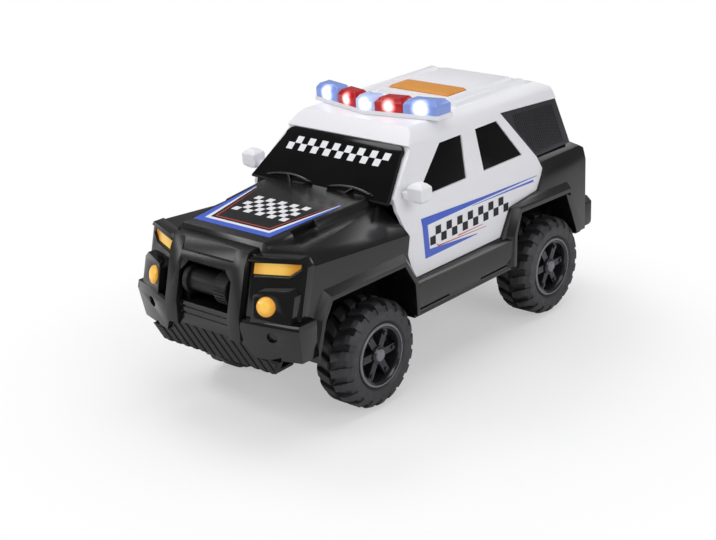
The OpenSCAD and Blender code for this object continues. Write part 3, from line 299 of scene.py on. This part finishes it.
EDGE_MM = {"lower_body": 0.7, "upper_cabin": 0.7, "grille_guard": 1.3, "front_bumper": 2.0,
           "headlight_bezel_left": 1.0, "headlight_bezel_right": 1.0, "rear_bumper": 1.2,
           "roof_button": 0.5, "windscreen": 1.6, "mirror_left": 1.2, "mirror_right": 1.2,
           "skid_plate": 0.4, "tailgate": 0.5}
USUAL_EDGE_MM = 0.35
CREASE_DEG = 24


def soften(thing, width):
    """Welds the triangles, then rounds each crease sharper than 24 degrees to a width in mm."""
    weld = thing.modifiers.new("weld", "WELD")
    weld.merge_threshold = 0.005 * MM
    flat = thing.modifiers.new("flat", "DECIMATE")
    flat.decimate_type = "DISSOLVE"
    flat.angle_limit = math.radians(0.6)
    edge = thing.modifiers.new("edge", "BEVEL")
    edge.limit_method = "ANGLE"
    edge.angle_limit = math.radians(CREASE_DEG)
    edge.width = width * MM
    edge.segments = 3
    edge.use_clamp_overlap = True
    edge.harden_normals = True
    thing.data.polygons.foreach_set("use_smooth", np.ones(len(thing.data.polygons), dtype=bool))


for finish, names in FINISH.items():
    for name in names.split():
        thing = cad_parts[name]
        thing.data.materials.clear()
        thing.data.materials.append(finish)
        soften(thing, EDGE_MM.get(name, USUAL_EDGE_MM))
print("dressed:", sum(len(n.split()) for n in FINISH.values()), "solids")

# %% [markdown]
# Floor and light
#
# The toy was photographed on a white sweep under large soft lamps. The floor takes the
# shadow near the car and fades to plain white further out; the sky is white to the eye and
# through clear plastic, and dimmer as a lamp.

# %% Floor, world and lamps
def sheet_mesh(name, points):
    """A grid of points, rows by columns, joined into four-sided faces."""
    rows, cols = points.shape[:2]
    k = np.arange(rows * cols).reshape(rows, cols)
    faces = np.stack([k[:-1, :-1], k[1:, :-1], k[1:, 1:], k[:-1, 1:]], axis=-1).reshape(-1, 4)
    mesh = bpy.data.meshes.new(name)
    mesh.from_pydata(points.reshape(-1, 3).tolist(), [], faces.tolist())
    mesh.polygons.foreach_set("use_smooth", np.ones(len(faces), dtype=bool))
    mesh.update()
    thing = bpy.data.objects.new(name, mesh)
    bpy.context.scene.collection.objects.link(thing)
    return thing


FLOOR_HALF = 3.0
FADE_AROUND = (0.03, 0.02, 0.0)
FADE_FROM, FADE_TO = 0.11, 0.26
span = np.array([-FLOOR_HALF, FLOOR_HALF])
floor_x, floor_y = np.meshgrid(span, span)
floor = sheet_mesh("floor", np.dstack([floor_y, floor_x, np.zeros_like(floor_x)]))
paper = bpy.data.materials.new("paper_sweep_white")
paper.use_nodes = True
tree = paper.node_tree
tree.nodes.remove(tree.nodes["Principled BSDF"])
place = add(tree, "ShaderNodeTexCoord").outputs["Object"]
far = add(tree, "ShaderNodeVectorMath", [(0, place)], operation="DISTANCE")
far.inputs[1].default_value = FADE_AROUND
fade = add(tree, "ShaderNodeMapRange", [("Value", far.outputs["Value"])],
           interpolation_type="SMOOTHSTEP", From_Min=FADE_FROM, From_Max=FADE_TO, To_Min=0.42)
ray = add(tree, "ShaderNodeLightPath")
seen = add(tree, "ShaderNodeMath", [(0, ray.outputs["Is Camera Ray"]), (1, fade.outputs["Result"])],
           operation="MULTIPLY")
matt = add(tree, "ShaderNodeBsdfDiffuse", Color=linear("#f4f4f4"))
glow = add(tree, "ShaderNodeEmission", Strength=1.0)
both = add(tree, "ShaderNodeMixShader",
           [(0, seen.outputs[0]), (1, matt.outputs[0]), (2, glow.outputs[0])])
tree.links.new(both.outputs[0], tree.nodes["Material Output"].inputs["Surface"])
floor.data.materials.append(paper)

world = bpy.data.worlds.new("studio")
bpy.context.scene.world = world
world.use_nodes = True
tree = world.node_tree
ray = add(tree, "ShaderNodeLightPath")
eye = add(tree, "ShaderNodeMath", operation="MAXIMUM",
          links=[(0, ray.outputs["Is Camera Ray"]), (1, ray.outputs["Is Transmission Ray"])])
level = add(tree, "ShaderNodeMapRange", [("Value", eye.outputs[0])], To_Min=0.2, To_Max=1.0)
tree.links.new(level.outputs["Result"], tree.nodes["Background"].inputs["Strength"])
tree.nodes["Background"].inputs["Color"].default_value = linear("#ffffff")


def lamp(name, place, aim, size, watts):
    """A rectangular soft lamp of a size in metres at a place, turned so that it faces the aim."""
    light = bpy.data.lights.new(name, "AREA")
    light.shape = "RECTANGLE"
    light.size, light.size_y = size
    light.energy = watts
    thing = bpy.data.objects.new(name, light)
    axis = np.array(place, dtype=float) - np.array(aim)
    axis /= np.linalg.norm(axis)
    side = np.cross([0, 0, 1] if abs(axis[2]) < 0.99 else [0, 1, 0], axis)
    side /= np.linalg.norm(side)
    turn = np.eye(4)
    turn[:3, 0], turn[:3, 1], turn[:3, 2], turn[:3, 3] = side, np.cross(axis, side), axis, place
    thing.matrix_world = Matrix(turn.tolist())
    bpy.context.scene.collection.objects.link(thing)


lamp("top_box", (-0.05, 0.1, 1.0), (0, 0, 0.05), (1.2, 0.6), 3.4)
lamp("front_box", (0.8, -0.25, 1.05), (0.1, 0, 0.08), (0.5, 0.34), 2.8)
lamp("low_box", (0.95, -0.35, 0.5), (0.1, 0, 0.08), (0.5, 0.4), 1.7)
lamp("side_box", (0.1, 1.0, 0.6), (0, 0, 0.07), (0.9, 0.6), 4.3)
lamp("right_strip", (0.85, -0.8, 0.42), (0.1, 0, 0.08), (0.4, 0.16), 1.3)
lamp("key_box", (-0.11, -0.6, 0.98), (0.05, 0, 0.08), (0.45, 0.32), 2.6)
lamp("back_strip", (-0.95, 0.25, 0.75), (0, 0, 0.1), (0.6, 0.15), 0.9)
print("lamps:", len(bpy.data.lights))

# %% [markdown]
# Printed stripes
#
# The bonnet and the doors carry printed bands. Ink lies flat on the plastic, so each band is
# a strip between two lines, laid a few hundredths of a millimetre above the surface that
# carries it. A band follows a path and its width changes from point to point.

# %% Bands on a surface
LAY = 0.08
BONNET_REAR_X, BONNET_REAR_Z = 57.0, 111.5
BONNET_FALL = 4.7 / 74.4
DOOR_Y, WAIST_Z = 55.5, 91.0
DOOR_LEAN, DOOR_LEAN_RISE = 1.5, 12.0


def place_piece(thing, finish, body="car"):
    """Gives a new piece its finish and the body that it rides on."""
    thing.data.materials.append(finish)
    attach(thing, body)
    return thing


def band(path, near, far, cuts=30):
    """Strip along a path in a plane: each point moves along the mitred normal by near and far.

    The mitre at a point is the sum of its two edge normals over one plus their dot product.
    Every stretch is then divided into equal cuts, so that the strip can follow a bent surface.
    """
    p = np.array(path, dtype=float)
    step = np.diff(p, axis=0)
    step /= np.linalg.norm(step, axis=1, keepdims=True)
    normal = np.column_stack([-step[:, 1], step[:, 0]])
    before, after = np.vstack([normal[:1], normal]), np.vstack([normal, normal[-1:]])
    mitre = (before + after) / (1 + np.sum(before * after, axis=1, keepdims=True))
    edges = [p + mitre * np.array(d, dtype=float)[:, None] for d in (near, far)]
    t = np.linspace(0, len(p) - 1, (len(p) - 1) * cuts + 1)
    k = np.arange(len(p))
    fine = [np.column_stack([np.interp(t, k, e[:, 0]), np.interp(t, k, e[:, 1])]) for e in edges]
    return np.stack([fine[0] + (fine[1] - fine[0]) * s for s in np.linspace(0, 1, 6)])


def lay_bonnet(xy):
    """Puts x, y points on the bonnet's raised panel, which falls evenly towards the nose."""
    z = BONNET_REAR_Z - (xy[..., 0] - BONNET_REAR_X) * BONNET_FALL
    return np.dstack([xy[..., 0], xy[..., 1], z + LAY]) * MM


def lay_door(xz, side):
    """Puts x, z points on a door: upright below 91 mm, then leaning in by 1.5 mm in 12 mm."""
    y = DOOR_Y - DOOR_LEAN * np.clip((xz[..., 1] - WAIST_Z) / DOOR_LEAN_RISE, 0, 1) + LAY
    return np.dstack([xz[..., 0], side * y, xz[..., 1]]) * MM


# %% Bonnet stripes
U = [(72, 32.4), (124.4, 28), (124.4, -28), (72, -32.4)]
BONNET = [("bonnet_stripe_blue", ink_blue, [0, 0, 0, 0], [1.0, 4.6, 4.6, 1.0]),
          ("bonnet_stripe_white", ink_white, [1.0, 4.6, 4.6, 1.0], [1.6, 6.9, 6.9, 1.6]),
          ("bonnet_stripe_red", ink_red, [3.4, 8.6, 8.6, 3.4], [3.5, 9.5, 9.5, 3.5])]
for name, ink, near, far in BONNET:
    thing = sheet_mesh(name, lay_bonnet(band(U, [-d for d in near], [-d for d in far])))
    place_piece(thing, ink)
print("bonnet stripes:", len(BONNET))

# %% Door stripes
HOOK = [(-79.5, 92.2), (-27, 93.6), (32.6, 96.2), (30.2, 72.3), (-18.5, 72.8)]
DOOR = [("door_stripe_blue", ink_blue, HOOK, [0, 0, 0, 0, 0], [0.3, 1.7, 4.6, 4.6, 0.4]),
        ("door_line_blue", ink_blue, [(-75.5, 90.6), (-50, 91.0), (-14, 91.2)],
         [0, 0, 0], [1.4, 0.9, 0.2]),
        ("door_line_red", ink_red, [(19.6, 78.1), (18.6, 76.3), (-27, 75.0)],
         [0, 0, 0], [0.3, 0.7, 0.3]),
        ("door_line_red_low", ink_red, [(0, 76.9), (-24, 77.1)], [0, 0], [0.7, 0.3])]
for side, word in ((1, "left"), (-1, "right")):
    for name, ink, path, near, far in DOOR:
        strip = band(path, [-d for d in near], [-d for d in far])
        place_piece(sheet_mesh(name + "_" + word, lay_door(strip, side)), ink)
print("door stripes:", 2 * len(DOOR))

# %% [markdown]
# Chequers
#
# The doors, the bonnet and the head of the windscreen carry a plain chequered band, as many
# patrol cars do. Each band is a field of squares in which every second one is inked.

# %% Chequered bands
def squares(across, along, size):
    """Corners of the inked squares of a field: those whose row and column add to an even number."""
    i, j = np.meshgrid(np.arange(across), np.arange(along), indexing="ij")
    inked = (i + j) % 2 == 0
    corner = np.stack([i[inked] - across / 2, j[inked] - along / 2], axis=-1)[:, None, :]
    return (corner + np.array([[0, 0], [1, 0], [1, 1], [0, 1]])) * size


def loose_faces(name, corners):
    """Separate four-sided faces from an array of faces by corners by coordinates."""
    mesh = bpy.data.meshes.new(name)
    n = len(corners)
    mesh.from_pydata(corners.reshape(-1, 3).tolist(), [], np.arange(4 * n).reshape(n, 4).tolist())
    mesh.update()
    thing = bpy.data.objects.new(name, mesh)
    bpy.context.scene.collection.objects.link(thing)
    return thing


# Foot and head of the windscreen's outer face, as x and z
SCREEN_FOOT, SCREEN_HEAD = np.array([56.0, 110.0]), np.array([29.0, 135.0])


def lay_screen(uv, lift=LAY):
    """Puts points u across and v up the slope on the windscreen, lifted off along its normal."""
    slope = (SCREEN_HEAD - SCREEN_FOOT) / np.linalg.norm(SCREEN_HEAD - SCREEN_FOOT)
    out = np.array([slope[1], -slope[0]])
    xz = SCREEN_FOOT + uv[..., 1:2] * slope + lift * out
    return np.concatenate([xz[..., :1], uv[..., :1], xz[..., 1:]], axis=-1) * MM


BONNET_FIELD_X = 93
SCREEN_FIELD_V = 26
DOOR_FIELD = (-12, 83.6)
bonnet = squares(5, 9, 4.4)
bonnet[..., 0] += BONNET_FIELD_X
place_piece(loose_faces("bonnet_chequers", lay_bonnet(bonnet)), ink_white)
screen = squares(16, 2, 4.6)
screen[..., 1] += SCREEN_FIELD_V
place_piece(loose_faces("screen_chequers", lay_screen(screen)), ink_white)
for side, word in ((1, "left"), (-1, "right")):
    door = squares(15, 2, 5.0)[:, ::-side] + np.array(DOOR_FIELD)
    place_piece(loose_faces("door_chequers_" + word, lay_door(door, side)), ink_dark)
print("chequered bands: 4")

# %% [markdown]
# Rim rings and hub caps
#
# Each rim has a foiled ring on its lip and a small domed cap on the hub. Both are turned
# shapes: a profile of radius and height, carried round the axle.

# %% Turned pieces on the wheels
def turned(name, profile, middle, side, steps=72):
    """Carries a profile of (radius, height outwards) round the axle line through the middle."""
    r, h = np.array(profile, dtype=float).T
    a = np.linspace(0, 2 * np.pi, steps + 1)[:, None]
    x, z = r * np.cos(a), r * np.sin(a)
    y = np.broadcast_to(h, x.shape)
    return sheet_mesh(name, (np.stack([side * x, side * y, z], axis=-1) + np.array(middle)) * MM)


LIP = [(17.98, 10.9), (17.98, 11.65), (17.5, 12.0), (17.1, 12.2), (16.7, 11.9), (16.2, 11.38)]
CAP = [(3.6, 10.4), (3.5, 11.0), (2.9, 11.5), (1.8, 11.85), (0.8, 12.0), (0.02, 12.02)]
WHEEL_X = {"front": 74.5, "rear": -91.5}
WHEEL_Y, AXLE_Z = 47.0, 30.5
for word, x in WHEEL_X.items():
    for side, hand in ((1, "left"), (-1, "right")):
        middle = (x, side * WHEEL_Y, AXLE_Z)
        for name, profile in (("rim_ring", LIP), ("hub_cap", CAP)):
            thing = turned(f"{name}_{word}_{hand}", profile, middle, side)
            place_piece(thing, ring_grey, word + "_wheels")
print("turned pieces: 8")

# %% [markdown]
# Wipers
#
# Two moulded wipers lie at the foot of the windscreen. A wiper is a round profile carried
# along a line that bows a little.

# %% Wipers
def rod(name, path, radius, sides=10):
    """Round profile carried along a path; the ends close to a point one radius further on."""
    p = np.array(path, dtype=float)
    t = np.gradient(p, axis=0)
    t /= np.linalg.norm(t, axis=1, keepdims=True)
    n = np.cross(t, [0.3, 0.1, 1.0])
    n /= np.linalg.norm(n, axis=1, keepdims=True)
    b = np.cross(t, n)
    p = np.vstack([p[:1] - t[:1] * radius, p[:1], p, p[-1:], p[-1:] + t[-1:] * radius])
    n, b = (np.vstack([v[:1], v[:1], v, v[-1:], v[-1:]]) for v in (n, b))
    size = np.full(len(p), radius)
    size[[0, -1]] = 0.02
    size[[1, -2]] = radius * 0.7
    a = np.linspace(0, 2 * np.pi, sides + 1)
    ring = n[:, None] * np.cos(a)[None, :, None] + b[:, None] * np.sin(a)[None, :, None]
    return sheet_mesh(name, (p[:, None] + ring * size[:, None, None]) * MM)


for side, hand in ((1, "left"), (-1, "right")):
    s = np.linspace(0, 1, 9)
    blade = np.column_stack([side * (6 + 33 * s), 3.2 + 2.4 * np.sin(np.pi * s)])
    blade_rod = rod("wiper_blade_" + hand, lay_screen(blade[None], 0.7)[0] / MM, 0.8)
    place_piece(blade_rod, gloss_black)
    arm = np.column_stack([side * (24 - 4 * s), 4.8 - 4.4 * s])
    arm_rod = rod("wiper_arm_" + hand, lay_screen(arm[None], 0.9)[0] / MM, 0.9)
    place_piece(arm_rod, gloss_black)
print("wipers: 2")

# %% [markdown]
# Beads under the headlights
#
# A thin moulded bead frames each headlight from below. It is half sunk in the lamp surround
# and draws a bright line there. It is the wiper's round profile, carried along the lens.

# %% Lamp beads
NOSE_X, SHELF_Z, NOSE_FLAT = 146.0, 70.0, 29.0
NOSE_LEAN, NOSE_SWEEP = 0.26, 0.4


def on_nose(yz, out):
    """Puts points y, z on the nose, which leans back 0.26 in 1, and 0.4 in 1 past 29 mm aside."""
    aside = np.clip(np.abs(yz[:, 0]) - NOSE_FLAT, 0, None)
    x = NOSE_X - NOSE_LEAN * (yz[:, 1] - SHELF_Z) - NOSE_SWEEP * aside + out
    return np.column_stack([x, yz])


BEAD = np.array([(30.2, 91.4), (48.7, 91.8), (54.4, 96.2)])
s = np.linspace(0, len(BEAD) - 1, 25)
for side, hand in ((1, "left"), (-1, "right")):
    edge = np.column_stack([np.interp(s, np.arange(len(BEAD)), BEAD[:, k]) for k in (0, 1)])
    edge = edge * [side, 1]
    bead = rod("headlight_bead_" + hand, on_nose(edge, 0.25), 0.75)
    place_piece(bead, gloss_black)
print("lamp beads: 2")
